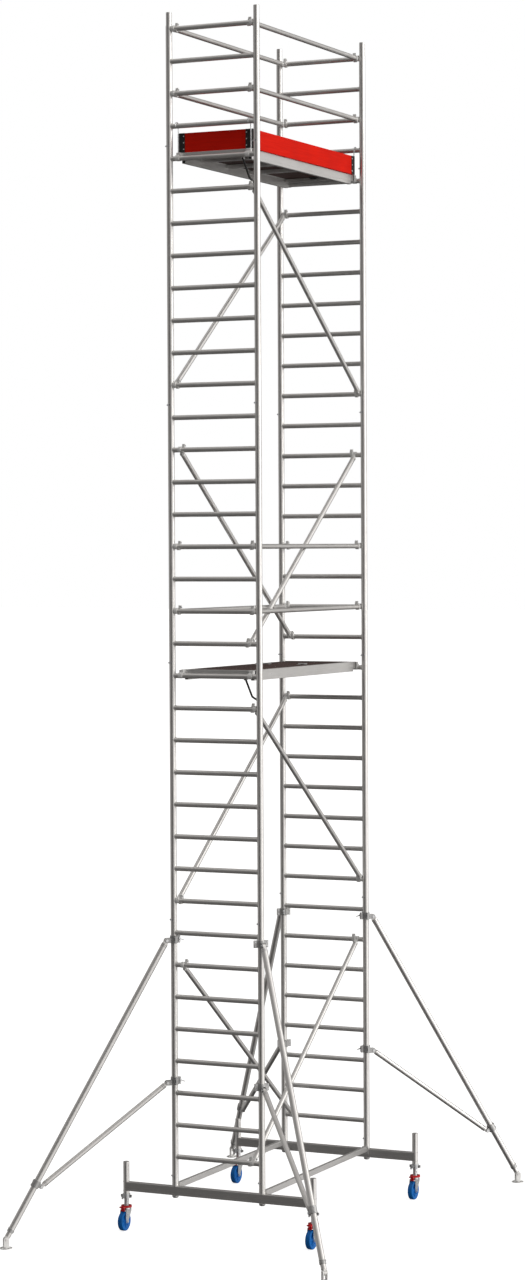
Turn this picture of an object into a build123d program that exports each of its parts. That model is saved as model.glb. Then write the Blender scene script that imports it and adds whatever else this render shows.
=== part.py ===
from build123d import *
import os
from math import atan2, degrees

# Mobile tower scaffold. Millimetres, +Z up, origin on the floor in the middle of the tower.
# X runs along the platforms (near end at -X), Y runs across the ladder frames.

# ---- driving dimensions ----
tower_length = 2000  # between the upright axes of the near and far end frames
tower_width = 750  # between the two uprights of an end frame
rung_pitch = 250
frame_bottom = 385  # lower edge of the lowest end frames
frame_height = 2000
frame_levels = 4
top_frame_height = 1000
rung_rise = 225  # first rung above the lower edge of its frame

upright_r = 25
upright_wall = 2
rung_r = 19
rung_wall = 2
weld_gap = 0.05  # play left between a saddle-cut end and the tube it is welded to
spigot_r = 22.5
spigot_seat_r = 22.9  # the part of a spigot that stays inside its own upright
spigot_wall = 3
spigot_out = 105
spigot_inside = 120
pin_rise = 75  # locking pin above a frame's lower edge
pin_r = 4.5

rail_r = 19
rail_y = 337
brace_places = (297, 337)  # the braces' Y alternates from level to level
claw_width = 24
claw_wall = 7
claw_reach = 46  # rung axis to the end of the claw's socket
claw_play = 0.3
latch_thickness = 22

platform_half_width = 300
side_beam_width = 30
side_beam_height = 80
side_beam_top = 48  # above the axis of the rung that carries the platform
end_beam_x = 950
end_beam_width = 30
deck_thickness = 12
hatch_start = 250
hatch_length = 630
hatch_gap = 3
board_height = 150
board_thickness = 20
board_y = 298  # inner face of a long toe board
bracket_x = 963

beam_z = 345
beam_height = 70
beam_width = 50
post_y = 808
post_r = 24
post_bore_r = 20
post_bottom = 285
post_top = 535
base_tube_height = 45
base_tube_width = 30
base_tube_z = 378

wheel_r = 75
wheel_width = 42
wheel_trail = 40  # axle behind the swivel axis
spindle_r = 19
spindle_bottom = 176.3
spindle_top = 520
kingpin_r = 8
running_clearance = 0.05

upper_clamp_z = 2308
lower_clamp_z = 1205
clamp_height = 56
clamp_play = 0.3
bracket_r = 61  # pivot of an outrigger tube, out from the upright's axis
upper_pivot_z = 2300
lower_pivot_z = 1190
foot_reach = 1363  # foot pivot, out from the upright's axis
foot_pivot_z = 68
arm_r = 24
arm_wall = 2.7
leg_r = 21
leg_wall = 3
strut_r = 20
strut_wall = 2
coupler_along = 2110  # strut coupler, down the arm from its upper pivot
coupler_drop = 48  # strut pivot below the arm's axis
pivot_pin_r = 6

half_length = tower_length / 2
half_width = tower_width / 2
near_x, far_x = -half_length, half_length
first_rung_z = frame_bottom + rung_rise
corners = [(near_x, half_width), (near_x, -half_width), (far_x, half_width), (far_x, -half_width)]
castor_places = [(near_x, post_y), (near_x, -post_y), (far_x, post_y), (far_x, -post_y)]


def rung_z(count):
    """Height of a rung's axis, counted from 1 at the bottom of the tower."""
    return first_rung_z + (count - 1) * rung_pitch


def write(name, *solids):
    """Label a finished piece, or a group of separate solids, and write it as one STEP file."""
    node = solids[0] if len(solids) == 1 else Compound(children=list(solids))
    node.label = name
    export_step(node, f"parts/{name}.step")


def tube(start, end, radius, wall):
    """A round tube between two points."""
    run = Vector(*end) - Vector(*start)
    with BuildPart() as piece:
        with BuildSketch(Plane(origin=start, z_dir=run)):
            Circle(radius)
            Circle(radius - wall, mode=Mode.SUBTRACT)
        extrude(amount=run.length)
    return piece.part


# ---- end frames: two uprights, rungs with saddle-cut ends, and a spigot in each upright's top ----
def drilled_upright(height):
    """An upright standing on the origin, with the locking pin's hole on its +Y side."""
    with BuildPart() as piece:
        with BuildSketch():
            Circle(upright_r)
            Circle(upright_r - upright_wall, mode=Mode.SUBTRACT)
        extrude(amount=height)
        with BuildSketch(Plane.XZ.offset(-2 * upright_r)):
            with Locations((0, pin_rise)):
                Circle(pin_r + claw_play)
        extrude(amount=2 * upright_r, mode=Mode.SUBTRACT)
    return piece.part


def saddle_rung():
    """A rung along Y through the origin, cut to the two uprights."""
    with BuildPart() as piece:
        add(tube((0, -half_width, 0), (0, half_width, 0), rung_r, rung_wall))
        with Locations((0, -half_width, 0), (0, half_width, 0)):
            Cylinder(upright_r + weld_gap, 4 * rung_r, mode=Mode.SUBTRACT)
    return piece.part


def joint_spigot():
    """The joint sleeve in an upright's top; the origin is on the upright's upper edge."""
    with BuildPart() as piece:
        with BuildSketch(Plane.XY.offset(-spigot_inside)):
            Circle(spigot_seat_r)
            Circle(spigot_r - spigot_wall, mode=Mode.SUBTRACT)
        extrude(amount=spigot_inside)
        with BuildSketch():
            Circle(spigot_r)
            Circle(spigot_r - spigot_wall, mode=Mode.SUBTRACT)
        extrude(amount=spigot_out)
        top_edges = piece.edges().filter_by(GeomType.CIRCLE).group_by(Axis.Z)[-1]
        chamfer(top_edges.sort_by(SortBy.RADIUS)[-1], 2)
        with BuildSketch(Plane.XZ.offset(-2 * upright_r)):
            with Locations((0, pin_rise)):
                Circle(pin_r + claw_play)
        extrude(amount=2 * upright_r, mode=Mode.SUBTRACT)
    return piece.part


rung = saddle_rung()
spigot = joint_spigot()
uprights = {height: drilled_upright(height) for height in (frame_height, top_frame_height)}


def end_frame(name, x, bottom, height):
    """One ladder frame, as its separate tubes."""
    pieces = [Pos(x, y, bottom) * uprights[height] for y in (-half_width, half_width)]
    pieces += [Pos(x, y, bottom + height) * spigot for y in (-half_width, half_width)]
    pieces += [
        Pos(x, 0, bottom + rung_rise + step * rung_pitch) * rung for step in range(height // rung_pitch)
    ]
    write(name, *pieces)


os.makedirs("parts", exist_ok=True)
level_bottoms = [frame_bottom + level * frame_height for level in range(frame_levels + 1)]
for end, x in (("near", near_x), ("far", far_x)):
    for level, bottom in enumerate(level_bottoms[:-1], start=1):
        end_frame(f"{end}_frame_{level}", x, bottom, frame_height)
    end_frame(f"{end}_frame_top", x, level_bottoms[-1], top_frame_height)


# ---- spring clips: a leaf round the upright with the locking pin and its knob ----
clip_height = 14
clip_leaf = 1.6
clip_play = 0.2

with BuildPart() as spring_clip:
    with BuildSketch(Plane.XY.offset(pin_rise - clip_height / 2)):
        Circle(upright_r + clip_play + clip_leaf)
        Circle(upright_r + clip_play, mode=Mode.SUBTRACT)
        with Locations((0, -upright_r)):
            Rectangle(3 * upright_r, 1.5 * upright_r, mode=Mode.SUBTRACT)
    extrude(amount=clip_height)
    with BuildSketch(Plane.XZ.offset(-upright_r + 2 * spigot_wall)):
        with Locations((0, pin_rise)):
            Circle(pin_r)
    extrude(amount=-2 * spigot_wall - clip_leaf)
    with BuildSketch(Plane.XZ.offset(-upright_r - clip_leaf)):
        with Locations((0, pin_rise)):
            Circle(pin_r + 1.5)
    extrude(amount=-8)

write(
    "spring_clips",
    *[Pos(x, y, bottom) * spring_clip.part for x, y in corners for bottom in level_bottoms],
)

# ---- claws and latches: a claw drops over a rung, its latch closes it from below ----
claw_inner = rung_r + claw_play
claw_outer = claw_inner + claw_wall


def claw(tilt):
    """A claw round a rung at the origin, its socket leaving towards +X at tilt degrees above level."""
    socket_middle = Vector(claw_reach / 2, 0).rotate(Axis.Z, tilt)
    with BuildPart() as piece:
        with BuildSketch(Plane.XZ.offset(-claw_width / 2)):
            Circle(claw_outer)
            with Locations((socket_middle.X, socket_middle.Y)):
                Rectangle(claw_reach, 2 * rail_r, rotation=tilt)
            Circle(claw_inner, mode=Mode.SUBTRACT)
            with Locations((0, -claw_reach / 2)):
                Rectangle(2 * claw_inner, claw_reach, mode=Mode.SUBTRACT)
        extrude(amount=claw_width)
    return piece.part


fin_top = 46
fin_reach = 30
fin_corner_r = 2.5

with BuildPart() as latch:
    with BuildSketch(Plane.XZ):
        Circle(claw_outer)
        Circle(claw_inner, mode=Mode.SUBTRACT)
        with Locations((-claw_outer, claw_outer / 2)):
            Rectangle(2 * claw_outer, 2 * claw_outer, mode=Mode.SUBTRACT)
        with BuildLine():
            Polyline(
                (8, rung_r), (10, fin_top), (24, fin_top), (fin_reach, 20), (fin_reach, 0), (22, 0),
                close=True,
            )
        make_face()
        Circle(claw_inner, mode=Mode.SUBTRACT)
    extrude(amount=-latch_thickness)
    fillet(latch.edges().filter_by(Axis.Y).group_by(Axis.Z)[-1], fin_corner_r)


def hooked_tube(start_z, end_z, y):
    """A tube along X with a claw on a rung at each end, and the two latches on its inner side."""
    start, end = Vector(near_x, y, start_z), Vector(far_x, y, end_z)
    run = end - start
    socket = run.normalized() * claw_reach
    tilt = degrees(atan2(run.Z, run.X))
    tube_and_claws = [
        tube(start + socket, end - socket, rail_r, rung_wall),
        Pos(start) * claw(tilt),
        Pos(end) * mirror(claw(-tilt), Plane.YZ),
    ]
    beside = claw_width / 2 + claw_play
    inset = -beside - latch_thickness if y > 0 else beside
    fasteners = [
        Pos(near_x, y + inset, start_z) * latch.part,
        Pos(far_x, y + inset, end_z) * mirror(latch.part, Plane.YZ),
    ]
    return tube_and_claws, fasteners


rails, braces, latches = [], {1: [], -1: []}, []
for count in (18, 20, 34, 36):
    for side in (1, -1):
        pieces, fasteners = hooked_tube(rung_z(count), rung_z(count), side * rail_y)
        rails += pieces
        latches += fasteners

# ---- diagonal braces: from the first rung of each level to its seventh, crossing on the two sides ----
rungs_per_frame = frame_height // rung_pitch
for level in range(frame_levels):
    low, high = (rung_z(rungs_per_frame * level + count) for count in (1, 7))
    for side in (1, -1):
        near_end_high = (level % 2 == 0) == (side == 1)
        start_z, end_z = (high, low) if near_end_high else (low, high)
        brace_y = side * brace_places[level % 2]
        pieces, fasteners = hooked_tube(start_z, end_z, brace_y)
        braces[side] += pieces
        latches += fasteners

write("guard_rails", *rails)
write("braces_left", *braces[1])
write("braces_right", *braces[-1])
write("claw_latches", *latches)


# ---- platforms: modelled with the axis of the rungs that carry them at height 0 ----
side_beam_wall = 2.5
side_beam_bottom = side_beam_top - side_beam_height
groove_depth = 1.5
groove_width = 4
groove_inset = 22  # from the beam's upper and lower edges
ledge_width = 12
ledge_thickness = 3
corner_r = 3
end_beam_height = 56
end_beam_half = platform_half_width + 17
beam_length = 2 * end_beam_x - end_beam_width
deck_bottom = side_beam_top - deck_thickness
deck_edge = platform_half_width - side_beam_width - 1
deck_end = end_beam_x - end_beam_width / 2 - 1
hatch_end = hatch_start + hatch_length
member_places = (-640, -200, hatch_start - 25, hatch_end + 10)
member_width = 40
member_height = 30
member_wall = 2
corner_claw_width = 34
corner_claw_wall = 8
corner_claw_middle = 19
corner_claw_height = 54

with BuildPart() as side_beam:
    beam_middle = (side_beam_top + side_beam_bottom) / 2
    with BuildSketch(Plane.YZ.offset(-beam_length / 2)):
        with Locations((0, beam_middle)):
            RectangleRounded(side_beam_width, side_beam_height, corner_r)
            Rectangle(
                side_beam_width - 2 * side_beam_wall,
                side_beam_height - 2 * side_beam_wall,
                mode=Mode.SUBTRACT,
            )
        groove_heights = (side_beam_bottom + groove_inset, side_beam_top - groove_inset)
        with Locations(*[(side_beam_width / 2, height) for height in groove_heights]):
            Rectangle(2 * groove_depth, groove_width, mode=Mode.SUBTRACT)
        with Locations((-(side_beam_width + ledge_width) / 2, deck_bottom - 0.5 - ledge_thickness / 2)):
            Rectangle(ledge_width, ledge_thickness)
    extrude(amount=beam_length)

with BuildPart() as end_beam:
    with BuildSketch(Plane.XZ.offset(-end_beam_half)):
        with Locations((0, side_beam_top - end_beam_height / 2)):
            RectangleRounded(end_beam_width, end_beam_height, corner_r)
            Rectangle(
                end_beam_width - 2 * side_beam_wall,
                end_beam_height - 2 * side_beam_wall,
                mode=Mode.SUBTRACT,
            )
    extrude(amount=2 * end_beam_half)

with BuildPart() as cross_member:
    with BuildSketch(Plane.XZ.offset(-deck_edge - 1)):
        with Locations((0, deck_bottom - 1.2 - member_height / 2)):
            RectangleRounded(member_width, member_height, corner_r)
            Rectangle(member_width - 2 * member_wall, member_height - 2 * member_wall, mode=Mode.SUBTRACT)
    extrude(amount=2 * deck_edge + 2)
    with BuildSketch(Plane.XY.offset(deck_bottom - 8)):
        with Locations((0, deck_edge - ledge_width / 2), (0, -deck_edge + ledge_width / 2)):
            Rectangle(1.5 * member_width, ledge_width + 4)
    extrude(amount=12, mode=Mode.SUBTRACT)

with BuildPart() as corner_claw:
    corner_reach = half_length - end_beam_x - end_beam_width / 2
    with BuildSketch(Plane.XZ.offset(-corner_claw_width / 2)):
        Circle(claw_inner + corner_claw_wall)
        with Locations((corner_reach / 2, corner_claw_middle)):
            Rectangle(corner_reach, corner_claw_height)
        Circle(claw_inner, mode=Mode.SUBTRACT)
        with Locations((0, -claw_reach / 2)):
            Rectangle(2 * claw_inner, claw_reach, mode=Mode.SUBTRACT)
    extrude(amount=corner_claw_width)
    fillet(corner_claw.edges().filter_by(Axis.Y).group_by(Axis.Z)[-1], 4)

# Uplift lock: a bent lever on a pin between two lugs, under the near end beam of each platform.
lock_y = -232
lock_pivot = Vector(-end_beam_x, 0, -22)
lock_pin_r = 3
lock_rod_r = 8
lock_eye_r = 9
lock_eye_width = 16
lug_r = 8
lug_gap = 17
lug_thickness = 4

with BuildPart() as lock_lugs:
    with BuildSketch(Plane.XZ.offset(-lock_y - lug_gap / 2 - lug_thickness)):
        with Locations((lock_pivot.X, lock_pivot.Z + lug_r / 2)):
            Rectangle(2 * lug_r, 2.5 * lug_r)
        with Locations((lock_pivot.X, lock_pivot.Z)):
            Circle(lug_r)
            Circle(lock_pin_r, mode=Mode.SUBTRACT)
    extrude(amount=lug_thickness)
    mirror(about=Plane.XZ.offset(-lock_y))

with BuildPart() as lever:
    with BuildLine(Plane.XZ.offset(-lock_y)) as lever_line:
        FilletPolyline(
            (lock_pivot.X + 5, lock_pivot.Z - 6),
            (lock_pivot.X + 115, lock_pivot.Z - 140),
            (lock_pivot.X + 200, lock_pivot.Z - 168),
            radius=40,
        )
    lever_path = lever_line.wires()[0]
    with BuildSketch(Plane(origin=lever_path @ 0, z_dir=lever_path % 0)):
        Circle(lock_rod_r)
    sweep(path=lever_path)
    with BuildSketch(Plane.XZ.offset(-lock_y - lock_eye_width / 2)):
        with Locations((lock_pivot.X, lock_pivot.Z)):
            Circle(lock_eye_r)
    extrude(amount=lock_eye_width)
    with BuildSketch(Plane.XZ.offset(-lock_y - lug_gap / 2 - 2 * lug_thickness)):
        with Locations((lock_pivot.X, lock_pivot.Z)):
            Circle(lock_pin_r - running_clearance)
    extrude(amount=lug_gap + 4 * lug_thickness)

# Hatch hinges: three knuckles on a pin at two places along the hatch's edge.
hinge_axis_z = side_beam_top + 6
hinge_places = (-160, 160)
hinge_pin_r = 2.5
knuckle_r = 5
knuckle_length = 26
leaf_length = 40
leaf_thickness = 2.4
leaf_lift = 1.4  # leaf's middle above the deck
hatch_lift = 0.3


def knuckle(y, leaf_side):
    """A hinge knuckle along Y; its leaf lies on the deck at leaf_side -1, on the hatch at +1."""
    lift = leaf_lift + (hatch_lift if leaf_side > 0 else 0)
    with BuildPart() as piece:
        with BuildSketch(Plane.XZ.offset(-y - knuckle_length / 2 + 0.5)):
            with Locations((hatch_start, hinge_axis_z)):
                Circle(knuckle_r)
            with Locations((hatch_start + leaf_side * leaf_length / 2, side_beam_top + lift)):
                Rectangle(leaf_length, leaf_thickness)
            with Locations((hatch_start, hinge_axis_z)):
                Circle(hinge_pin_r + running_clearance, mode=Mode.SUBTRACT)
        extrude(amount=knuckle_length - 1)
    return piece.part


def deck_panel(x_low, x_high, z_low):
    """A deck board between the side beams."""
    with BuildPart() as piece:
        with BuildSketch(Plane.XY.offset(z_low)):
            with Locations(((x_low + x_high) / 2, 0)):
                Rectangle(x_high - x_low, 2 * deck_edge)
        extrude(amount=deck_thickness)
    return piece.part


with BuildPart() as hinge_pin:
    with BuildSketch(Plane.XZ.offset(-1.5 * knuckle_length)):
        Circle(hinge_pin_r)
    extrude(amount=3 * knuckle_length)

with BuildPart() as hatch_panel:
    add(deck_panel(hatch_start + 2, hatch_end, deck_bottom + hatch_lift))
    with BuildSketch():
        with Locations((hatch_end - 70, 0)):
            SlotOverall(110, 34, rotation=90)
    extrude(amount=2 * side_beam_top, mode=Mode.SUBTRACT)

side_beam_y = platform_half_width - side_beam_width / 2
claw_sides = (-platform_half_width, platform_half_width)
platform_frame = [
    Pos(0, side_beam_y, 0) * side_beam.part,
    Pos(0, -side_beam_y, 0) * Rot(0, 0, 180) * side_beam.part,
    *[Pos(x, 0, 0) * end_beam.part for x in (-end_beam_x, end_beam_x)],
    *[Pos(x, 0, 0) * cross_member.part for x in member_places],
    *[Pos(near_x, y, 0) * corner_claw.part for y in claw_sides],
    *[Pos(far_x, y, 0) * mirror(corner_claw.part, Plane.YZ) for y in claw_sides],
    *lock_lugs.solids(),
]
deck_pieces = [
    deck_panel(-deck_end, hatch_start - 2, deck_bottom),
    deck_panel(hatch_end + hatch_gap, deck_end, deck_bottom),
    *[knuckle(place + side * knuckle_length, -1) for place in hinge_places for side in (-1, 1)],
    *[Pos(hatch_start, place, hinge_axis_z) * hinge_pin.part for place in hinge_places],
]
hatch_pieces = [hatch_panel.part, *[knuckle(place, 1) for place in hinge_places]]

for name, count in (("lower", 16), ("upper", 32)):
    place = Pos(0, 0, rung_z(count))
    write(f"{name}_platform_frame", *[place * piece for piece in platform_frame])
    write(f"{name}_deck", *[place * piece for piece in deck_pieces])
    write(f"{name}_hatch", *[place * piece for piece in hatch_pieces])
    write(f"{name}_uplift_lock", place * lever.part)


# ---- toe boards round the upper platform, their corner brackets, and the rods that hold them down ----
board_play = 0.2
board_z = rung_z(32) + side_beam_top + board_play
board_edge_r = 3
board_outside = board_y + board_thickness + board_play
end_board_half = board_y - 26
bracket_sheet = 3
bracket_leg = 60
bracket_face = bracket_x + 1.2
rod_r = 4
rod_x = 973
rod_y = 311
rod_hook_r = half_length - rod_x
rivet_r = 5
rivet_head = 2
rivet_inset = 12
rivet_rises = (25, 75, 125)

with BuildPart() as side_board:
    with BuildSketch(Plane.XY.offset(board_z)):
        with Locations((0, board_y + board_thickness / 2)):
            Rectangle(2 * bracket_x - 6, board_thickness)
    extrude(amount=board_height)
    fillet(side_board.edges().filter_by(Axis.X).group_by(Axis.Z)[-1], board_edge_r)

with BuildPart() as end_board:
    with BuildSketch(Plane.XY.offset(board_z)):
        with Locations((-bracket_x + 2 + board_thickness / 2, 0)):
            Rectangle(board_thickness, 2 * end_board_half)
    extrude(amount=board_height)
    fillet(end_board.edges().filter_by(Axis.Y).group_by(Axis.Z)[-1], board_edge_r)

write(
    "toe_boards",
    side_board.part,
    mirror(side_board.part, Plane.XZ),
    end_board.part,
    mirror(end_board.part, Plane.YZ),
)

with BuildPart() as corner_bracket:
    with BuildSketch(Plane.XY.offset(board_z)):
        leg_middle = board_outside + bracket_sheet - bracket_leg / 2
        with Locations((-bracket_face + bracket_sheet / 2, leg_middle)):
            Rectangle(bracket_sheet, bracket_leg)
        with Locations((-bracket_face + bracket_leg / 2, board_outside + bracket_sheet / 2)):
            Rectangle(bracket_leg, bracket_sheet)
    extrude(amount=board_height)
    with BuildSketch(Plane.YZ.offset(-bracket_face)):
        rivet_y = board_outside - bracket_leg + rivet_inset
        with Locations(*[(rivet_y, board_z + rise) for rise in rivet_rises]):
            Circle(rivet_r)
    extrude(amount=-rivet_head)

with BuildPart() as board_rod:
    rod_bottom = board_z - 1
    with BuildLine(Plane.XZ.offset(-rod_y)) as rod_line:
        Line((-rod_x, rod_bottom), (-rod_x, rung_z(33)))
        CenterArc((near_x, rung_z(33)), rod_hook_r, 0, 200)
    with BuildSketch(Plane.XY.offset(rod_bottom)):
        with Locations((-rod_x, rod_y)):
            Circle(rod_r)
    sweep(path=rod_line.wires()[0])

fittings = []
for piece in (corner_bracket.part, board_rod.part):
    both_ends = [piece, mirror(piece, Plane.YZ)]
    fittings += both_ends + [mirror(item, Plane.XZ) for item in both_ends]
write("toe_board_fittings", *fittings)


# ---- chassis: two cross beams with castor posts, frame spigots and cups, and two base tubes ----
beam_wall = 3.5
beam_groove = 3
beam_grooves = (-16, 0, 16)
beam_top = beam_z + beam_height / 2
beam_bottom = beam_z - beam_height / 2
foot_spigot_out = spigot_out + 30
cup_height = 22
cup_edge_r = 12
cap_height = 3
plate_thickness = 6
plate_margin = 13


def chassis_beam(name, x):
    """One cross beam: grooved box section, posts at its ends, a spigot and a cup at each upright."""
    with BuildPart() as beam:
        with BuildSketch(Plane.XZ.offset(-post_y)):
            with Locations((x, beam_z)):
                RectangleRounded(beam_width, beam_height, 4)
                Rectangle(beam_width - 2 * beam_wall, beam_height - 2 * beam_wall, mode=Mode.SUBTRACT)
                for side in (-1, 1):
                    with Locations(*[(side * beam_width / 2, rise) for rise in beam_grooves]):
                        Rectangle(beam_groove, beam_groove, mode=Mode.SUBTRACT)
        extrude(amount=2 * post_y)
        with Locations((x, post_y, beam_z), (x, -post_y, beam_z)):
            Cylinder(post_r + weld_gap, 2 * beam_height, mode=Mode.SUBTRACT)
    pieces = [beam.part]
    for y in (post_y, -post_y):
        with BuildPart() as post:
            with BuildSketch(Plane.XY.offset(post_bottom)):
                with Locations((x, y)):
                    Circle(post_r)
                    Circle(post_bore_r, mode=Mode.SUBTRACT)
            extrude(amount=post_top - post_bottom)
            with BuildSketch(Plane.XY.offset(post_top)):
                with Locations((x, y)):
                    Circle(post_r - 1)
            extrude(amount=cap_height)
        pieces.append(post.part)
    for y in (half_width, -half_width):
        with BuildPart() as foot_spigot:
            with BuildSketch(Plane.XY.offset(beam_top)):
                with Locations((x, y)):
                    Circle(upright_r)
                    Circle(spigot_r - spigot_wall, mode=Mode.SUBTRACT)
            extrude(amount=frame_bottom - beam_top - weld_gap)
            with BuildSketch(Plane.XY.offset(beam_top)):
                with Locations((x, y)):
                    Circle(spigot_r)
                    Circle(spigot_r - spigot_wall, mode=Mode.SUBTRACT)
            extrude(amount=frame_bottom - beam_top + foot_spigot_out)
            with BuildSketch(Plane.XZ.offset(-y - 2 * upright_r)):
                with Locations((x, frame_bottom + pin_rise)):
                    Circle(pin_r + claw_play)
            extrude(amount=2 * upright_r, mode=Mode.SUBTRACT)
        with BuildPart() as cup:
            with BuildSketch(Plane.XY.offset(beam_bottom)):
                with Locations((x, y)):
                    Circle(upright_r)
            extrude(amount=-cup_height)
            fillet(cup.edges().group_by(Axis.Z)[0], cup_edge_r)
        pieces += [foot_spigot.part, cup.part]
    write(name, *pieces)


chassis_beam("chassis_beam_near", near_x)
chassis_beam("chassis_beam_far", far_x)

base_tube_end = half_length - beam_width / 2 - 0.2
with BuildPart() as base_tube:
    with BuildSketch(Plane.YZ.offset(-base_tube_end)):
        with Locations((half_width, base_tube_z)):
            RectangleRounded(base_tube_width, base_tube_height, 4)
            Rectangle(
                base_tube_width - 2 * side_beam_wall,
                base_tube_height - 2 * side_beam_wall,
                mode=Mode.SUBTRACT,
            )
    extrude(amount=2 * base_tube_end)
    for plate_start in (-base_tube_end, base_tube_end - plate_thickness):
        with BuildSketch(Plane.YZ.offset(plate_start)):
            with Locations((half_width, base_tube_z - 12)):
                RectangleRounded(base_tube_width + 2 * plate_margin, base_tube_height + 22, 5)
        extrude(amount=plate_thickness)
write("base_tubes", base_tube.part, mirror(base_tube.part, Plane.XZ))


# ---- castors, modelled with the swivel axis on Z and the floor at 0; each trails towards -X ----
head_z = 150
head_r = 11
head_height = 7
flange_r = 26
flange_height = 6

nut_z = 250
nut_r = 30
nut_height = 34
wing_y = 37
wing_height = 20
wing_rise = 6
knob_y = 36
knob_r = 7
knob_z = 236

crown_z = 158
crown_top = 164.3
race_top = 176
race_r = 30
leg_inner = 24
leg_plate = 4
hub_r = 17
axle_r = 7.95
axle_half = 36
axle_nut_r = 14
axle_nut_height = 7

brake_pivot_x = 46
brake_pivot_z = 180
brake_pivot_r = 2.5
brake_pivot_half = 18
lug_x = 46.5
lug_width = 11
lug_height = 22
lug_z = 175
lug_start = 12
brake_z = 178
brake_height = 16
brake_ring_r = 42
brake_ring_bore = 32
pedal_x = -62
pedal_z = 184
pedal_thickness = 8
pad_x = -63
pad_bottom = 156

with BuildPart() as spindle:
    with BuildSketch(Plane.XZ):
        with BuildLine():
            Polyline(
                (0, head_z), (head_r, head_z),
                (head_r, head_z + head_height), (kingpin_r, head_z + head_height),
                (kingpin_r, spindle_bottom), (flange_r, spindle_bottom),
                (flange_r, spindle_bottom + flange_height), (spindle_r, spindle_bottom + flange_height),
                (spindle_r, spindle_top), (0, spindle_top),
                close=True,
            )
        make_face()
    revolve(axis=Axis.Z)

with BuildPart() as nut:
    with BuildSketch(Plane.XY.offset(nut_z)):
        Circle(nut_r)
        Circle(spindle_r + claw_play, mode=Mode.SUBTRACT)
    extrude(amount=nut_height)
    with BuildSketch(Plane.XY.offset(nut_z + wing_rise)):
        with Locations((0, wing_y), (0, -wing_y)):
            SlotOverall(26, 14, rotation=90)
    extrude(amount=wing_height)
    with BuildSketch(Plane.XY.offset(knob_z)):
        with Locations((0, knob_y)):
            Circle(knob_r)
    extrude(amount=wing_height + 4)

with BuildPart() as fork:
    with BuildSketch(Plane.XY.offset(crown_z)):
        with Locations((-11, 0)):
            Rectangle(82, 2 * (leg_inner + leg_plate))
        with Locations((38, 0)):
            Rectangle(28, 2 * (lug_start + leg_plate))
        Circle(kingpin_r + running_clearance, mode=Mode.SUBTRACT)
    extrude(amount=crown_top - crown_z)
    with BuildSketch(Plane.XY.offset(crown_top)):
        Circle(race_r)
        Circle(kingpin_r + running_clearance, mode=Mode.SUBTRACT)
    extrude(amount=race_top - crown_top)
    with BuildSketch(Plane.XZ.offset(leg_inner)):
        with BuildLine():
            Polyline(
                (-52, crown_top), (30, crown_top), (30, 148), (-24, 70), (-56, 70), (-60, 110),
                close=True,
            )
        make_face()
        with Locations((-wheel_trail, wheel_r)):
            Circle(hub_r)
            Circle(axle_r + running_clearance, mode=Mode.SUBTRACT)
    extrude(amount=leg_plate)
    mirror(about=Plane.XZ)
    with BuildSketch(Plane.XZ.offset(lug_start)):
        with Locations((lug_x, lug_z)):
            Rectangle(lug_width, lug_height)
        with Locations((brake_pivot_x, brake_pivot_z)):
            Circle(brake_pivot_r, mode=Mode.SUBTRACT)
    lug = extrude(amount=leg_plate)
    mirror(lug, about=Plane.XZ)

with BuildPart() as axle:
    with BuildSketch(Plane.XZ.offset(-axle_half)):
        with Locations((-wheel_trail, wheel_r)):
            Circle(axle_r)
    extrude(amount=2 * axle_half)
    with BuildSketch(Plane.XZ.offset(leg_inner + leg_plate + 0.2)):
        with Locations((-wheel_trail, wheel_r)):
            RegularPolygon(axle_nut_r, 6)
    extrude(amount=axle_nut_height)
    mirror(about=Plane.XZ)

with BuildPart() as brake_pin:
    with BuildSketch(Plane.XZ.offset(-brake_pivot_half)):
        with Locations((brake_pivot_x, brake_pivot_z)):
            Circle(brake_pivot_r - running_clearance)
    extrude(amount=2 * brake_pivot_half)

hub_half = 23.4
rim_half = 12
with BuildPart() as wheel:
    with BuildSketch():
        with BuildLine():
            Polyline(
                (axle_r + 0.1, -hub_half), (22, -hub_half), (26, -rim_half), (50, -rim_half),
                (58, -18), (69, -wheel_width / 2), (wheel_r, -14),
                (wheel_r, 14), (69, wheel_width / 2), (58, 18),
                (50, rim_half), (26, rim_half), (22, hub_half), (axle_r + 0.1, hub_half),
                close=True,
            )
        make_face()
    revolve(axis=Axis.Y)
    fillet(wheel.edges().filter_by(GeomType.CIRCLE).group_by(SortBy.RADIUS)[-1], 3)

with BuildPart() as brake:
    with BuildSketch(Plane.XY.offset(brake_z)):
        Circle(brake_ring_r)
        Circle(brake_ring_bore, mode=Mode.SUBTRACT)
    extrude(amount=brake_height)
    with BuildSketch(Plane.XY.offset(pedal_z)):
        with Locations((pedal_x, 0)):
            RectangleRounded(50, 40, 6)
        Circle(brake_ring_bore, mode=Mode.SUBTRACT)
    extrude(amount=pedal_thickness)
    with BuildSketch(Plane.XY.offset(pad_bottom)):
        with Locations((pad_x, 0)):
            Rectangle(10, 28)
    extrude(amount=pedal_z + 2 - pad_bottom)
    with BuildSketch(Plane.XZ.offset(-lug_start + 0.6)):
        with Locations((lug_x - 1, brake_pivot_z + 1)):
            Rectangle(lug_width, 10)
        with Locations((brake_pivot_x, brake_pivot_z)):
            Circle(brake_pivot_r + running_clearance, mode=Mode.SUBTRACT)
    extrude(amount=2 * lug_start - 1.2)

for number, (x, y) in enumerate(castor_places, start=1):
    swivel = Pos(x, y, 0)
    write(f"castor_spindle_{number}", swivel * spindle.part)
    write(f"castor_nut_{number}", swivel * nut.part)
    write(f"castor_fork_{number}", *[swivel * piece.part for piece in (fork, axle, brake_pin)])
    write(f"castor_wheel_{number}", Pos(x - wheel_trail, y, wheel_r) * wheel.part)
    write(f"castor_brake_{number}", swivel * brake.part)


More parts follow.
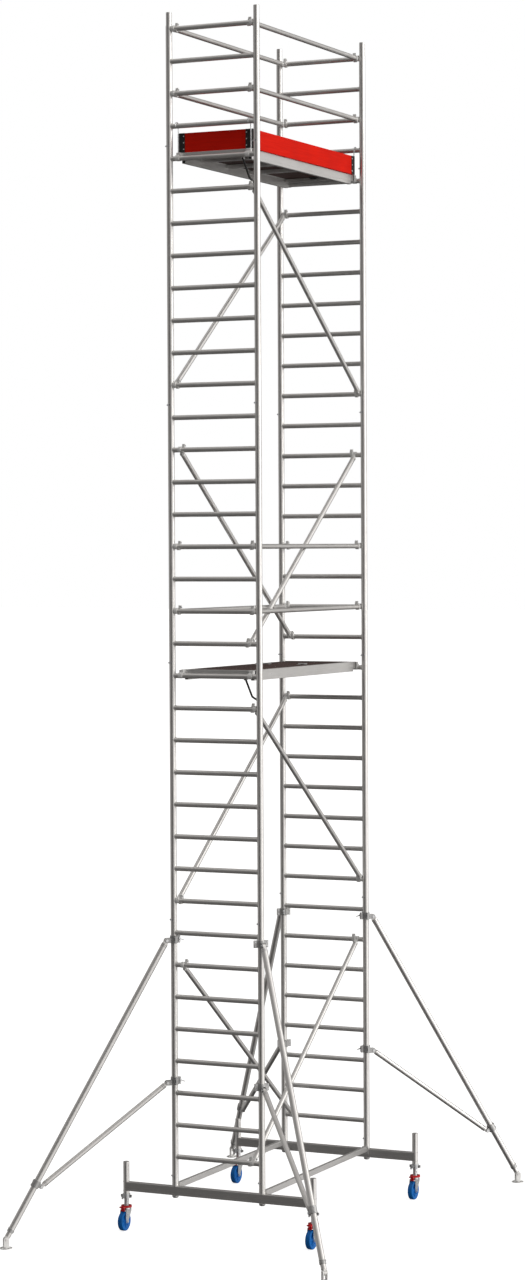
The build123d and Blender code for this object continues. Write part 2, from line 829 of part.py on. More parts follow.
# ---- outriggers: modelled with the upright's axis on Z and the arm in the XZ plane, outwards +X ----
upper_pivot = Vector(bracket_r, 0, upper_pivot_z)
lower_pivot = Vector(bracket_r, 0, lower_pivot_z)
foot_pivot = Vector(foot_reach, 0, foot_pivot_z)
arm_run = foot_pivot - upper_pivot
arm_length = arm_run.length
along = arm_run.normalized()
inward = Vector(along.Z, 0, -along.X)
coupler_point = upper_pivot + along * coupler_along
strut_end = coupler_point + inward * coupler_drop
strut_run = strut_end - lower_pivot
strut_way = strut_run.normalized()
arm_end = arm_length - 66  # the arm's open end, where the leg slides out
leg_start = 2050
eye_length = 30
eye_half = 10
arm_eye_r = 20
strut_eye_r = 15
strut_end_eye_r = 13
leg_eye_r = 20
fork_gap = 10.5
fork_plate = 5
coupler_length = 56
coupler_wall = 8
clamp_wall = 7
ear_x = -38
ear_width = 20
ear_thickness = 22
flange_y = 42  # middle of a flange on each side of the clamp
flange_width = 16
flange_length = 32
clamp_slit = 3
bolt_head_r = 11
bolt_head_height = 6
wing_x = -55
clip_wire_r = 2


def eyed_tube(pivot, direction, radius, wall, end, eye_r):
    """A tube that starts with a flat eye on a pivot; end counts from the pivot."""
    tilt = degrees(atan2(direction.Z, direction.X))
    neck_middle = pivot + direction * (eye_length / 2)
    with BuildPart() as piece:
        with BuildSketch(Plane.XZ.offset(-eye_half)):
            with Locations((pivot.X, pivot.Z)):
                Circle(eye_r)
            with Locations((neck_middle.X, neck_middle.Z)):
                Rectangle(eye_length, 2 * eye_r - 4, rotation=tilt)
            with Locations((pivot.X, pivot.Z)):
                Circle(pivot_pin_r, mode=Mode.SUBTRACT)
        extrude(amount=2 * eye_half)
        with BuildSketch(Plane(origin=pivot + direction * (eye_length - 5), z_dir=direction)):
            Circle(radius)
        extrude(amount=6)
        with BuildSketch(Plane(origin=pivot + direction * eye_length, z_dir=direction)):
            Circle(radius)
            Circle(radius - wall, mode=Mode.SUBTRACT)
        extrude(amount=end - eye_length)
    return piece.part


def clamp(ring_z, pivot_z):
    """A flanged collar round the upright, fork plates to the pivot outwards and bolt ears inwards."""
    with BuildPart() as piece:
        with BuildSketch(Plane.XY.offset(ring_z - clamp_height / 2)):
            Circle(upright_r + clamp_wall)
            with Locations((ear_x, 0)):
                Rectangle(ear_width, ear_thickness)
            with Locations((0, flange_y), (0, -flange_y)):
                Rectangle(flange_width, flange_length)
        extrude(amount=clamp_height)
        with BuildSketch(Plane.XZ.offset(-fork_gap - fork_plate)):
            with Locations((bracket_r / 2 + 10, pivot_z)):
                Rectangle(bracket_r - 20, 2 * arm_eye_r)
            with Locations((bracket_r, pivot_z)):
                Circle(arm_eye_r)
                Circle(pivot_pin_r, mode=Mode.SUBTRACT)
        extrude(amount=fork_plate)
        mirror(about=Plane.XZ)
        with BuildSketch(Plane.XY.offset(pivot_z - 2 * clamp_height)):
            Circle(upright_r + clamp_play)
        extrude(amount=4 * clamp_height, mode=Mode.SUBTRACT)
        with BuildSketch(Plane.XY.offset(ring_z - clamp_height)):
            with Locations((ear_x - 2, 0)):
                Rectangle(2 * ear_width, clamp_slit)
        extrude(amount=2 * clamp_height, mode=Mode.SUBTRACT)
    return piece.part


def cross_pin(point, reach):
    """A pivot bolt across the arm's plane, with a head at each end."""
    with BuildPart() as piece:
        with BuildSketch(Plane.XZ.offset(-reach)):
            with Locations((point.X, point.Z)):
                Circle(pivot_pin_r - running_clearance)
        extrude(amount=2 * reach)
        with BuildSketch(Plane.XZ.offset(reach)):
            with Locations((point.X, point.Z)):
                RegularPolygon(bolt_head_r, 6)
        extrude(amount=bolt_head_height)
        mirror(about=Plane.XZ)
    return piece.part


def clamp_bolt(ring_z):
    """The clamp's bolts through the ears, joined by a wing handle."""
    with BuildPart() as piece:
        with BuildSketch(Plane.XZ.offset(-ear_thickness / 2 - clamp_play)):
            with Locations((ear_x - 3, ring_z + 12), (ear_x - 3, ring_z - 12)):
                Circle(7)
        extrude(amount=-8)
        with BuildSketch(Plane.XZ.offset(-ear_thickness / 2 - 6)):
            with Locations((wing_x, ring_z)):
                SlotOverall(46, 9, rotation=20)
        extrude(amount=-bolt_head_height)
    return piece.solids()


with BuildPart() as coupler:
    fork_middle = coupler_point + inward * 37
    with BuildSketch(Plane(origin=coupler_point - along * coupler_length / 2, z_dir=along)):
        Circle(arm_r + coupler_wall)
        Circle(arm_r + weld_gap, mode=Mode.SUBTRACT)
    extrude(amount=coupler_length)
    with BuildSketch(Plane.XZ.offset(-fork_gap - fork_plate)):
        with Locations((fork_middle.X, fork_middle.Z)):
            Rectangle(24, 32, rotation=30)
        with Locations((strut_end.X, strut_end.Z)):
            Circle(strut_eye_r)
            Circle(pivot_pin_r, mode=Mode.SUBTRACT)
    extrude(amount=fork_plate)
    mirror(about=Plane.XZ)

arm = eyed_tube(upper_pivot, along, arm_r, arm_wall, arm_end, arm_eye_r)
strut = eyed_tube(lower_pivot, strut_way, strut_r, strut_wall, strut_run.length / 2, strut_eye_r)
strut += eyed_tube(strut_end, strut_way * -1, strut_r, strut_wall, strut_run.length / 2, strut_end_eye_r)

with BuildPart() as bow_clip:
    clip_point = upper_pivot + along * (arm_end - 25)
    with BuildLine(Plane(origin=clip_point, x_dir=inward * -1, z_dir=along)) as clip_line:
        CenterArc((0, 0), arm_r + 5, -90, 180)
    clip_path = clip_line.wires()[0]
    with BuildSketch(Plane(origin=clip_path @ 0, z_dir=clip_path % 0)):
        Circle(clip_wire_r)
    sweep(path=clip_path)

outrigger_pieces = [
    arm,
    strut,
    coupler.part,
    clamp(upper_clamp_z, upper_pivot_z),
    clamp(lower_clamp_z, lower_pivot_z),
    *[cross_pin(point, fork_gap + fork_plate + 0.2) for point in (upper_pivot, lower_pivot, strut_end)],
    *clamp_bolt(upper_clamp_z),
    *clamp_bolt(lower_clamp_z),
    bow_clip.part,
]

foot_pin_half = 20
foot_pin_head_r = 9
foot_pin_head = 4
with BuildPart() as leg:
    add(eyed_tube(foot_pivot, along * -1, leg_r, leg_wall, arm_length - leg_start, leg_eye_r))
    with BuildSketch(Plane.XZ.offset(-foot_pin_half)):
        with Locations((foot_pivot.X, foot_pivot.Z)):
            Circle(pivot_pin_r)
    extrude(amount=2 * foot_pin_half)
    with BuildSketch(Plane.XZ.offset(foot_pin_half)):
        with Locations((foot_pivot.X, foot_pivot.Z)):
            Circle(foot_pin_head_r)
    extrude(amount=foot_pin_head)
    mirror(about=Plane.XZ)

foot_r = 50
foot_plate = 5
foot_dome_r = 27
foot_dome_height = 12
foot_ear = 8
foot_ear_gap = eye_half + 1
with BuildPart() as foot:
    with BuildSketch():
        with Locations((foot_reach, 0)):
            Circle(foot_r)
    extrude(amount=foot_plate)
    chamfer(foot.edges().group_by(Axis.Z)[-1], 1.5)
    with BuildSketch(Plane.XY.offset(foot_plate - 1)):
        with Locations((foot_reach, 0)):
            Circle(foot_dome_r)
    extrude(amount=foot_dome_height)
    chamfer(foot.edges().group_by(Axis.Z)[-1], 6)
    with BuildSketch(Plane.XZ.offset(-foot_ear_gap - foot_ear)):
        with Locations((foot_reach, foot_pivot_z / 2 + 4)):
            Rectangle(2 * leg_eye_r, foot_pivot_z - 8)
        with Locations((foot_reach, foot_pivot_z)):
            Circle(leg_eye_r)
            Circle(pivot_pin_r + running_clearance, mode=Mode.SUBTRACT)
    extrude(amount=foot_ear)
    mirror(about=Plane.XZ)

for number, (x, y) in enumerate(corners, start=1):
    outwards = (45 if x > 0 else 135) * (1 if y > 0 else -1)
    place = Pos(x, y, 0) * Rot(0, 0, outwards)
    write(f"outrigger_{number}", *[place * piece for piece in outrigger_pieces])
    write(f"outrigger_leg_{number}", place * leg.part)
    write(f"outrigger_foot_{number}", place * foot.part)
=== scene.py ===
import bmesh
import bpy
import math
from mathutils import Matrix, Vector


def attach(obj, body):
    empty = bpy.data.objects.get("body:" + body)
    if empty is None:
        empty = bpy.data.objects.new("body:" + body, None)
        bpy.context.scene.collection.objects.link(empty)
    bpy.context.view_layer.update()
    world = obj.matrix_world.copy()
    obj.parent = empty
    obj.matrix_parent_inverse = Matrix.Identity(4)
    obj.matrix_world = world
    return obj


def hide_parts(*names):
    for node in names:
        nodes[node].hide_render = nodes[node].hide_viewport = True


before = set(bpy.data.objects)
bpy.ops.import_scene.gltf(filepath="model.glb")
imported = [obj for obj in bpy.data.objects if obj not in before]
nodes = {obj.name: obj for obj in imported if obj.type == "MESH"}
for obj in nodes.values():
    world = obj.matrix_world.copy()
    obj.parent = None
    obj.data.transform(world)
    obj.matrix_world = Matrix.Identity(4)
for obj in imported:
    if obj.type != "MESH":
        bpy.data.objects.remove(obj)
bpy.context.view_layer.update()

scene = bpy.context.scene

# ---------------------------------------------------------------- camera
# The view of the photograph: from about the height of the tower's middle, off its near right corner.
IMAGE_H = 1280
FOCAL_PX = 3118.0  # focal length in the pixels of the whole picture
AXIS_SHIFT_X = -14.7 / IMAGE_H
AXIS_SHIFT_Y = -22.4 / IMAGE_H
CAMERA_AT = Vector((-22.523, -10.720, 5.3525))
LOOK = Vector((0.90354, 0.42791, -0.02253)).normalized()
RIGHT = Vector((0.42792, -0.90380, -0.00492)).normalized()

camera_data = bpy.data.cameras.new("camera")
camera_data.sensor_width = 36.0
camera_data.lens = FOCAL_PX * camera_data.sensor_width / IMAGE_H
camera_data.shift_x = AXIS_SHIFT_X
camera_data.shift_y = AXIS_SHIFT_Y
camera_data.clip_end = 500
camera = bpy.data.objects.new("camera", camera_data)
scene.collection.objects.link(camera)
up = RIGHT.cross(LOOK).normalized()
right = LOOK.cross(up).normalized()
turn = Matrix((right, up, -LOOK)).transposed().to_4x4()
camera.matrix_world = Matrix.Translation(CAMERA_AT) @ turn
scene.camera = camera
scene.view_settings.view_transform = "Standard"


# ---------------------------------------------------------------- light and floor
SIDE_LIGHT = (0.05, -0.97, 0.20)
FILL_LIGHT = (-0.05, 0.99, 0.10)
OVERHEAD = (0, 0, 1)
AMBIENT = 0.042
KEY_ENERGY = 0.95
KEY_FROM = (0.16, -0.93, 0.27)


def build_world():
    """A pale studio: bright on the camera's right and overhead, dimmer on its left, dark below."""
    world = bpy.data.worlds.new("studio")
    world.use_nodes = True
    scene.world = world
    tree = world.node_tree
    tree.nodes.clear()
    coord = tree.nodes.new("ShaderNodeTexCoord")

    def glow(direction, low, high, level):
        """Light that grows from nothing to level as a direction turns towards the one given."""
        dot = tree.nodes.new("ShaderNodeVectorMath")
        dot.operation = "DOT_PRODUCT"
        dot.inputs[1].default_value = Vector(direction).normalized()
        tree.links.new(coord.outputs["Generated"], dot.inputs[0])
        step = tree.nodes.new("ShaderNodeMapRange")
        step.interpolation_type = "SMOOTHSTEP"
        step.inputs["From Min"].default_value = low
        step.inputs["From Max"].default_value = high
        step.inputs["To Max"].default_value = level
        tree.links.new(dot.outputs["Value"], step.inputs["Value"])
        return step.outputs["Result"]

    def combine(kind, first, second):
        node = tree.nodes.new("ShaderNodeMath")
        node.operation = kind
        tree.links.new(first, node.inputs[0])
        if isinstance(second, float):
            node.inputs[1].default_value = second
        else:
            tree.links.new(second, node.inputs[1])
        return node.outputs[0]

    side = glow(SIDE_LIGHT, 0.08, 0.95, 1.05)
    brightest = combine("MAXIMUM", side, glow(OVERHEAD, 0.25, 0.95, 0.60))
    brightest = combine("MAXIMUM", brightest, glow(FILL_LIGHT, 0.22, 1.0, 0.34))
    lit = tree.nodes.new("ShaderNodeBackground")
    lit.inputs["Color"].default_value = (1.0, 0.975, 0.955, 1)
    tree.links.new(combine("ADD", brightest, AMBIENT), lit.inputs["Strength"])
    seen = tree.nodes.new("ShaderNodeBackground")
    path = tree.nodes.new("ShaderNodeLightPath")
    mix = tree.nodes.new("ShaderNodeMixShader")
    out = tree.nodes.new("ShaderNodeOutputWorld")
    seen.inputs["Color"].default_value = (1, 1, 1, 1)
    tree.links.new(path.outputs["Is Camera Ray"], mix.inputs["Fac"])
    tree.links.new(lit.outputs[0], mix.inputs[1])
    tree.links.new(seen.outputs[0], mix.inputs[2])
    tree.links.new(mix.outputs[0], out.inputs["Surface"])


def build_sun():
    """A soft key light from the side that the photograph shows bright."""
    light = bpy.data.lights.new("key", "SUN")
    light.energy = KEY_ENERGY
    light.angle = math.radians(24)
    light.color = (1.0, 0.985, 0.96)
    key = bpy.data.objects.new("key", light)
    key.rotation_mode = "QUATERNION"
    key.rotation_quaternion = Vector(KEY_FROM).to_track_quat("Z", "Y")
    scene.collection.objects.link(key)


def build_floor():
    """A wide pale floor that only the camera sees, so it throws no light up at the tubes."""
    mesh = bpy.data.meshes.new("floor")
    reach = 220.0
    drop = 0.0005
    corners = [(-reach, -reach, 0), (reach, -reach, 0), (reach, reach, 0), (-reach, reach, 0)]
    mesh.from_pydata(corners, [], [(0, 1, 2, 3)])
    floor = bpy.data.objects.new("floor", mesh)
    scene.collection.objects.link(floor)
    floor.location.z = -drop
    paint = bpy.data.materials.new("floor_pale")
    paint.use_nodes = True
    bsdf = paint.node_tree.nodes["Principled BSDF"]
    bsdf.inputs["Base Color"].default_value = (0.60, 0.60, 0.60, 1)
    bsdf.inputs["Roughness"].default_value = 1.0
    bsdf.inputs["Specular IOR Level"].default_value = 0.0
    bsdf.inputs["Emission Color"].default_value = (1, 1, 1, 1)
    bsdf.inputs["Emission Strength"].default_value = 0.80
    mesh.materials.append(paint)
    floor.visible_diffuse = False
    floor.visible_glossy = False


build_world()
build_sun()
build_floor()


# ---------------------------------------------------------------- materials
class Paint:
    """A procedural material: a Principled shader fed by noise in the object's own metres."""

    def __init__(self, name, metallic, specular=0.5):
        self.material = bpy.data.materials.new(name)
        self.material.use_nodes = True
        self.tree = self.material.node_tree
        self.shader = self.tree.nodes["Principled BSDF"]
        self.shader.inputs["Metallic"].default_value = metallic
        self.shader.inputs["Specular IOR Level"].default_value = specular
        self.coord = self.tree.nodes.new("ShaderNodeTexCoord").outputs["Object"]

    def link(self, source, target):
        self.tree.links.new(source, target)

    def stretched(self, scale):
        """The object's coordinates, stretched by scale along each axis."""
        mapping = self.tree.nodes.new("ShaderNodeMapping")
        mapping.inputs["Scale"].default_value = scale
        self.link(self.coord, mapping.inputs["Vector"])
        return mapping.outputs["Vector"]

    def noise(self, scale, detail=4.0, rough=0.55, stretch=(1, 1, 1), distortion=0.0):
        texture = self.tree.nodes.new("ShaderNodeTexNoise")
        texture.inputs["Scale"].default_value = scale
        texture.inputs["Detail"].default_value = detail
        texture.inputs["Roughness"].default_value = rough
        texture.inputs["Distortion"].default_value = distortion
        self.link(self.stretched(stretch), texture.inputs["Vector"])
        return texture.outputs["Fac"]

    def span(self, value, low, high, to_low, to_high):
        """value, mapped from low..high to to_low..to_high and clamped."""
        step = self.tree.nodes.new("ShaderNodeMapRange")
        step.inputs["From Min"].default_value = low
        step.inputs["From Max"].default_value = high
        step.inputs["To Min"].default_value = to_low
        step.inputs["To Max"].default_value = to_high
        self.link(value, step.inputs["Value"])
        return step.outputs["Result"]

    def maths(self, kind, first, second):
        node = self.tree.nodes.new("ShaderNodeMath")
        node.operation = kind
        for socket, value in zip(node.inputs, (first, second)):
            if isinstance(value, (int, float)):
                socket.default_value = value
            else:
                self.link(value, socket)
        return node.outputs[0]

    def mix(self, factor, first, second):
        """A colour between first and second, each a colour or a socket."""
        node = self.tree.nodes.new("ShaderNodeMix")
        node.data_type = "RGBA"
        self.link(factor, node.inputs[0])
        for socket, value in ((node.inputs[6], first), (node.inputs[7], second)):
            if isinstance(value, tuple):
                socket.default_value = (*value, 1)
            else:
                self.link(value, socket)
        return node.outputs[2]

    def finish(self, colour, roughness, height=None, depth=0.001, strength=0.4):
        self.link(colour, self.shader.inputs["Base Color"])
        self.link(roughness, self.shader.inputs["Roughness"])
        if height is not None:
            bump = self.tree.nodes.new("ShaderNodeBump")
            bump.inputs["Strength"].default_value = strength
            bump.inputs["Distance"].default_value = depth
            self.link(height, bump.inputs["Height"])
            self.link(bump.outputs["Normal"], self.shader.inputs["Normal"])
        return self.material


def metal(name, light, dark, rough_low, rough_high, stretch, grain=420.0, metallic=0.9):
    """Bare metal: drawn streaks along the long axis, fine grain, soft mottling and brighter scuffs."""
    paint = Paint(name, metallic)
    mottle = paint.noise(2.3, detail=6)
    streak = paint.noise(1.0, detail=3, stretch=stretch)
    fine = paint.noise(grain, detail=2)
    scuff = paint.span(paint.noise(24.0, detail=8, rough=0.7, distortion=0.6), 0.60, 0.70, 0.0, 1.0)
    tone = paint.maths("ADD", paint.maths("MULTIPLY", mottle, 0.55), paint.maths("MULTIPLY", streak, 0.45))
    colour = paint.mix(paint.span(tone, 0.35, 0.65, 0, 1), dark, light)
    colour = paint.mix(paint.maths("MULTIPLY", scuff, 0.35), colour, tuple(min(1, c * 1.15) for c in light))
    wear = paint.maths("ADD", paint.maths("MULTIPLY", streak, 0.6), paint.maths("MULTIPLY", fine, 0.4))
    roughness = paint.span(wear, 0.3, 0.7, rough_low, rough_high)
    height = paint.maths("ADD", paint.maths("MULTIPLY", streak, 0.5), paint.maths("MULTIPLY", fine, 0.5))
    return paint.finish(colour, roughness, height, depth=0.0004, strength=0.35)


CAST_GRAIN = (60, 60, 60)  # the same along every axis, as in a casting
PLATED_GRAIN = (90, 90, 90)

tube_metal = metal("drawn_aluminium", (0.80, 0.79, 0.775), (0.69, 0.68, 0.665), 0.30, 0.48, (220, 220, 9))
rail_metal = metal("drawn_rail", (0.80, 0.79, 0.775), (0.70, 0.69, 0.675), 0.30, 0.46, (9, 220, 220))
beam_metal = metal("extruded_beam", (0.74, 0.735, 0.725), (0.64, 0.635, 0.625), 0.36, 0.52, (7, 260, 260))
cross_metal = metal("extruded_chassis", (0.62, 0.61, 0.60), (0.52, 0.51, 0.50), 0.36, 0.52, (260, 7, 260))
cast_metal = metal("cast_aluminium", (0.72, 0.72, 0.71), (0.60, 0.60, 0.595), 0.45, 0.65, CAST_GRAIN,
                   grain=700.0)
zinc = metal("zinc_plate", (0.74, 0.75, 0.76), (0.60, 0.61, 0.62), 0.22, 0.42, PLATED_GRAIN,
             metallic=0.95)


def painted(name, colour, shade, roughness, worn, specular=0.4, grain=520.0):
    """Paint or moulded plastic: an orange-peel bump, uneven gloss and small worn spots."""
    paint = Paint(name, 0.0, specular)
    mottle = paint.noise(9.0, detail=5)
    fine = paint.noise(grain, detail=2)
    chips = paint.span(paint.noise(70.0, detail=9, rough=0.75), 0.66, 0.72, 0.0, 1.0)
    tone = paint.mix(paint.span(mottle, 0.35, 0.65, 0, 1), shade, colour)
    tone = paint.mix(paint.maths("MULTIPLY", chips, 0.7), tone, worn)
    gloss = paint.maths("ADD", paint.maths("MULTIPLY", mottle, 0.5), paint.maths("MULTIPLY", fine, 0.5))
    gloss = paint.span(gloss, 0.3, 0.7, roughness - 0.08, roughness + 0.12)
    return paint.finish(tone, gloss, fine, depth=0.0005, strength=0.3)


wheel_blue = painted("moulded_blue", (0.004, 0.155, 0.52), (0.003, 0.105, 0.38), 0.45, (0.08, 0.22, 0.46),
                     specular=0.25)
weld_metal = metal("weld_bead", (0.70, 0.69, 0.68), (0.52, 0.51, 0.50), 0.34, 0.55, PLATED_GRAIN,
                   grain=260.0)
claw_metal = metal("claw_casting", (0.90, 0.90, 0.89), (0.80, 0.80, 0.79), 0.5, 0.7, CAST_GRAIN,
                   grain=700.0, metallic=0.55)
clamp_metal = metal("clamp_casting", (0.56, 0.56, 0.555), (0.42, 0.42, 0.42), 0.42, 0.62, CAST_GRAIN,
                    grain=700.0)
brake_red = painted("brake_red", (0.62, 0.006, 0.012), (0.46, 0.004, 0.008), 0.38, (0.35, 0.10, 0.09))
rubber = painted("sole_rubber", (0.030, 0.030, 0.030), (0.018, 0.018, 0.018), 0.75, (0.07, 0.07, 0.07), 0.3)
black_steel = painted("black_steel", (0.022, 0.021, 0.021), (0.012, 0.012, 0.012), 0.45, (0.16, 0.155, 0.15))


def board_paint():
    """Red paint over board: long grain along the board, a little darker in the pores, and scuffed."""
    paint = Paint("board_red", 0.0, 0.05)
    grain = paint.noise(1.0, detail=6, stretch=(3.5, 3.5, 90), distortion=0.3)
    mottle = paint.noise(3.0, detail=5)
    scuff = paint.span(paint.noise(30.0, detail=9, rough=0.75), 0.64, 0.74, 0, 1)
    tone = paint.maths("ADD", paint.maths("MULTIPLY", grain, 0.5), paint.maths("MULTIPLY", mottle, 0.5))
    colour = paint.mix(paint.span(tone, 0.36, 0.64, 0, 1), (0.56, 0.008, 0.003), (0.72, 0.014, 0.005))
    colour = paint.mix(paint.maths("MULTIPLY", scuff, 0.4), colour, (0.30, 0.05, 0.035))
    return paint.finish(colour, paint.span(mottle, 0.3, 0.7, 0.55, 0.75), grain, 0.0012, 0.45)


def deck_film():
    """Brown film-faced ply: a pressed anti-slip mesh, and paths worn paler."""
    paint = Paint("deck_film", 0.0, 0.25)
    mesh = paint.tree.nodes.new("ShaderNodeTexVoronoi")
    mesh.feature = "DISTANCE_TO_EDGE"
    mesh.inputs["Scale"].default_value = 130.0
    mesh.inputs["Randomness"].default_value = 0.15
    paint.link(paint.coord, mesh.inputs["Vector"])
    ridge = paint.span(mesh.outputs["Distance"], 0.0, 0.12, 1.0, 0.0)
    mottle = paint.noise(4.0, detail=7)
    worn = paint.span(paint.noise(2.0, detail=8, rough=0.65), 0.5, 0.75, 0, 0.6)
    colour = paint.mix(paint.span(mottle, 0.3, 0.7, 0, 1), (0.040, 0.020, 0.017), (0.085, 0.045, 0.038))
    colour = paint.mix(worn, colour, (0.13, 0.085, 0.075))
    colour = paint.mix(paint.maths("MULTIPLY", ridge, 0.4), colour, (0.12, 0.075, 0.065))
    return paint.finish(colour, paint.span(mottle, 0.3, 0.7, 0.5, 0.72), ridge, 0.0015, 0.6)


board_red = board_paint()
deck_brown = deck_film()


def finish_for(name):
    """The material of a CAD node, by its name."""
    if name in ("guard_rails", "braces_left", "braces_right"):
        return rail_metal
    if "_frame_" in name and "platform" not in name:
        return tube_metal
    if name.startswith("outrigger_foot"):
        return claw_metal
    if name.startswith(("castor_fork", "castor_spindle", "castor_nut")):
        return zinc
    if name.startswith("outrigger"):
        return tube_metal
    if name.startswith("chassis"):
        return cross_metal
    if name == "base_tubes" or name.endswith("platform_frame"):
        return beam_metal
    if name.startswith("castor_wheel"):
        return wheel_blue
    if name.startswith("castor_brake"):
        return brake_red
    if name == "claw_latches":
        return claw_metal
    if name.endswith(("_deck", "_hatch")):
        return deck_brown
    if name == "toe_boards":
        return board_red
    if name.endswith("uplift_lock"):
        return black_steel
    return zinc


STEPS_PER_METRE = 50000  # vertices that fall in the same step belong to one solid


def islands(mesh):
    """The mesh's separate solids, as (polygon numbers, lowest corner, highest corner)."""
    parent = list(range(len(mesh.vertices)))

    def root(i):
        while parent[i] != i:
            parent[i] = parent[parent[i]]
            i = parent[i]
        return i

    same_place = {}
    for vertex in mesh.vertices:
        spot = tuple(round(c * STEPS_PER_METRE) for c in vertex.co)
        parent[root(vertex.index)] = root(same_place.setdefault(spot, vertex.index))
    for edge in mesh.edges:
        a, b = root(edge.vertices[0]), root(edge.vertices[1])
        parent[a] = b
    groups = {}
    for polygon in mesh.polygons:
        groups.setdefault(root(polygon.vertices[0]), []).append(polygon.index)
    for members in groups.values():
        corners = [mesh.vertices[v].co for p in members for v in mesh.polygons[p].vertices]
        low = Vector([min(c[axis] for c in corners) for axis in range(3)])
        high = Vector([max(c[axis] for c in corners) for axis in range(3)])
        yield members, low, high


def small_part_finish(name, size):
    """The material of one solid in a node whose solids differ, by its size; None keeps the node's own."""
    longest = max(size)
    if name in ("guard_rails", "braces_left", "braces_right"):
        claw = longest < 0.15
        return claw_metal if claw else None
    if name.startswith("outrigger_") and name.removeprefix("outrigger_").isdigit():
        tube = longest > 0.4
        pin_or_clip = min(size) < 0.012 or longest < 0.062
        if tube:
            return None
        return zinc if pin_or_clip else clamp_metal
    if name.endswith("platform_frame"):
        corner_claw = longest < 0.12
        return claw_metal if corner_claw else None
    if name.endswith(("_deck", "_hatch")):
        hinge = longest < 0.09
        return zinc if hinge else None
    if name == "toe_board_fittings":
        bracket = size.x > 0.05 and size.z < 0.16
        return black_steel if bracket else None
    if name.startswith("chassis_beam"):
        cup = size.z < 0.03
        post_or_spigot = size.z > 0.1 and longest < 0.4
        if cup:
            return clamp_metal
        return tube_metal if post_or_spigot else None
    return None


for name, node in nodes.items():
    node.data.materials.clear()
    node.data.materials.append(finish_for(name))
    for members, low, high in islands(node.data):
        finish = small_part_finish(name, high - low)
        if finish is None:
            continue
        if finish.name not in node.data.materials:
            node.data.materials.append(finish)
        number = node.data.materials.find(finish.name)
        for polygon in members:
            node.data.polygons[polygon].material_index = number


# ---------------------------------------------------------------- dimensions, in millimetres
MM = 0.001
HALF_LENGTH = 1000
HALF_WIDTH = 375
FIRST_RUNG = 610
RUNG_PITCH = 250
UPRIGHT_R = 25
RUNG_R = 19
RAIL_Y = 337
BRACE_Y = (297, 337)  # alternates from level to level
POST_Y = 808
RUNGS_PER_FRAME = 8
RAIL_RUNGS = (18, 20, 34, 36)
PLATFORM_RUNGS = {"lower": 16, "upper": 32}
CORNERS = [(x, y) for x in (-HALF_LENGTH, HALF_LENGTH) for y in (HALF_WIDTH, -HALF_WIDTH)]
CASTORS = [(x, y) for x in (-HALF_LENGTH, HALF_LENGTH) for y in (POST_Y, -POST_Y)]


def rung_z(count):
    """The height of a rung, counted from 1 at the bottom."""
    return FIRST_RUNG + (count - 1) * RUNG_PITCH


def at(point, axis=(0, 0, 1), spin=0.0):
    """A placing whose Z runs along axis."""
    facing = Vector(axis).to_track_quat("Z", "Y").to_matrix().to_4x4()
    return Matrix.Translation(Vector(point)) @ facing @ Matrix.Rotation(spin, 4, "Z")


# ---------------------------------------------------------------- shapes
def skin(shape, rings, closed=False):
    """A surface through rings of points; its ends are capped unless it closes on itself."""
    loops = [[shape.verts.new(point) for point in ring] for ring in rings]
    count = len(loops[0])
    spans = list(zip(loops, loops[1:]))
    if closed:
        spans.append((loops[-1], loops[0]))
    for low, high in spans:
        for i in range(count):
            k = (i + 1) % count
            shape.faces.new((low[i], low[k], high[k], high[i]))
    if not closed:
        shape.faces.new(loops[0][::-1])
        shape.faces.new(loops[-1])


def lathe(shape, place, profile, sides=24, closed=False):
    """A turned shape about the placing's Z, from (radius, height) steps."""
    angles = [2 * math.pi * i / sides for i in range(sides)]
    rings = [[place @ Vector((r * math.cos(a), r * math.sin(a), h)) for a in angles] for r, h in profile]
    skin(shape, rings, closed)


def rivet(shape, place, radius, height=1.6):
    """A domed rivet head standing on the placing's plane."""
    steps = ((1.0, -0.3), (1.0, 0.15), (0.88, 0.55), (0.6, 0.88), (0.2, 1.0))
    lathe(shape, place, [(radius * r, height * h) for r, h in steps], sides=14)


def bolt(shape, place, radius):
    """A washer and a chamfered hexagon head with the bolt's end in its middle."""
    washer = ((1.3, -0.1), (1.3, 0.18), (1.22, 0.26), (0.5, 0.26))
    head = ((0.94, 0.24), (1.0, 0.34), (1.0, 0.86), (0.9, 1.0), (0.52, 1.0))
    end = ((0.46, 0.9), (0.46, 1.22), (0.38, 1.3), (0.1, 1.3))
    lathe(shape, place, [(radius * r, radius * h) for r, h in washer], sides=20)
    lathe(shape, place, [(radius * r, radius * h) for r, h in head], sides=6)
    lathe(shape, place, [(radius * r, radius * h) for r, h in end], sides=12)


def outline(width, depth, corner):
    """A rectangle with rounded corners, as points round the origin."""
    points = []
    for quarter in range(4):
        sx = 1 if quarter in (0, 3) else -1
        sy = 1 if quarter in (0, 1) else -1
        for step in range(4):
            a = math.pi / 2 * (quarter + step / 3)
            points.append((sx * (width / 2 - corner) + corner * math.cos(a),
                           sy * (depth / 2 - corner) + corner * math.sin(a)))
    return points


def slab(shape, place, width, depth, height, corner, bevel):
    """A plate on the placing's plane with rounded corners and a bevelled top edge."""
    rings = []
    for inset, level in ((0, 0), (0, height - bevel), (bevel * 0.3, height - bevel * 0.3), (bevel, height)):
        edge = outline(width - 2 * inset, depth - 2 * inset, max(corner - inset, 0.1))
        rings.append([place @ Vector((x, y, level)) for x, y in edge])
    skin(shape, rings)


